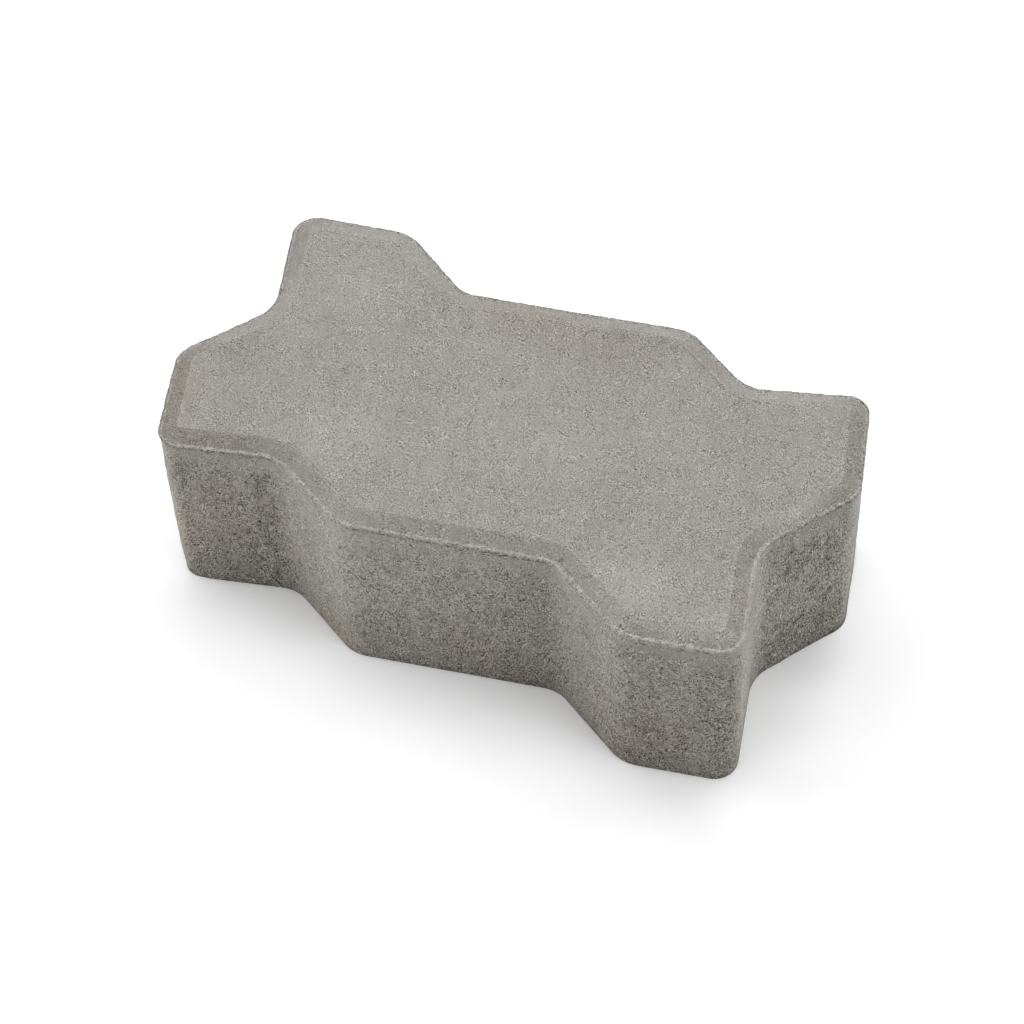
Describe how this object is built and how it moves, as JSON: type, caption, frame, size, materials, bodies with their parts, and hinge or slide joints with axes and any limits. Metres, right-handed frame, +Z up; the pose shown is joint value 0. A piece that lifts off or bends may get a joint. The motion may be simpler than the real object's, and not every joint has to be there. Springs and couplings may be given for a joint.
{
  "type": "concrete paving stone",
  "caption": "Zig-zag interlocking concrete paving stone with a flat wearing face, a shallow chamfer round it and upright cast sides.",
  "frame": {"origin": "middle of the base, on the surface that the stone rests on", "axes": "+X along the stone, +Y across it, +Z up through the wearing face"},
  "size_m": [0.239, 0.129, 0.08],
  "materials": {
    "concrete": "cast concrete, fine open grain, dry and matt"
  },
  "bodies": {
    "root": {"paving_stone": "concrete"}
  },
  "joints": []
}
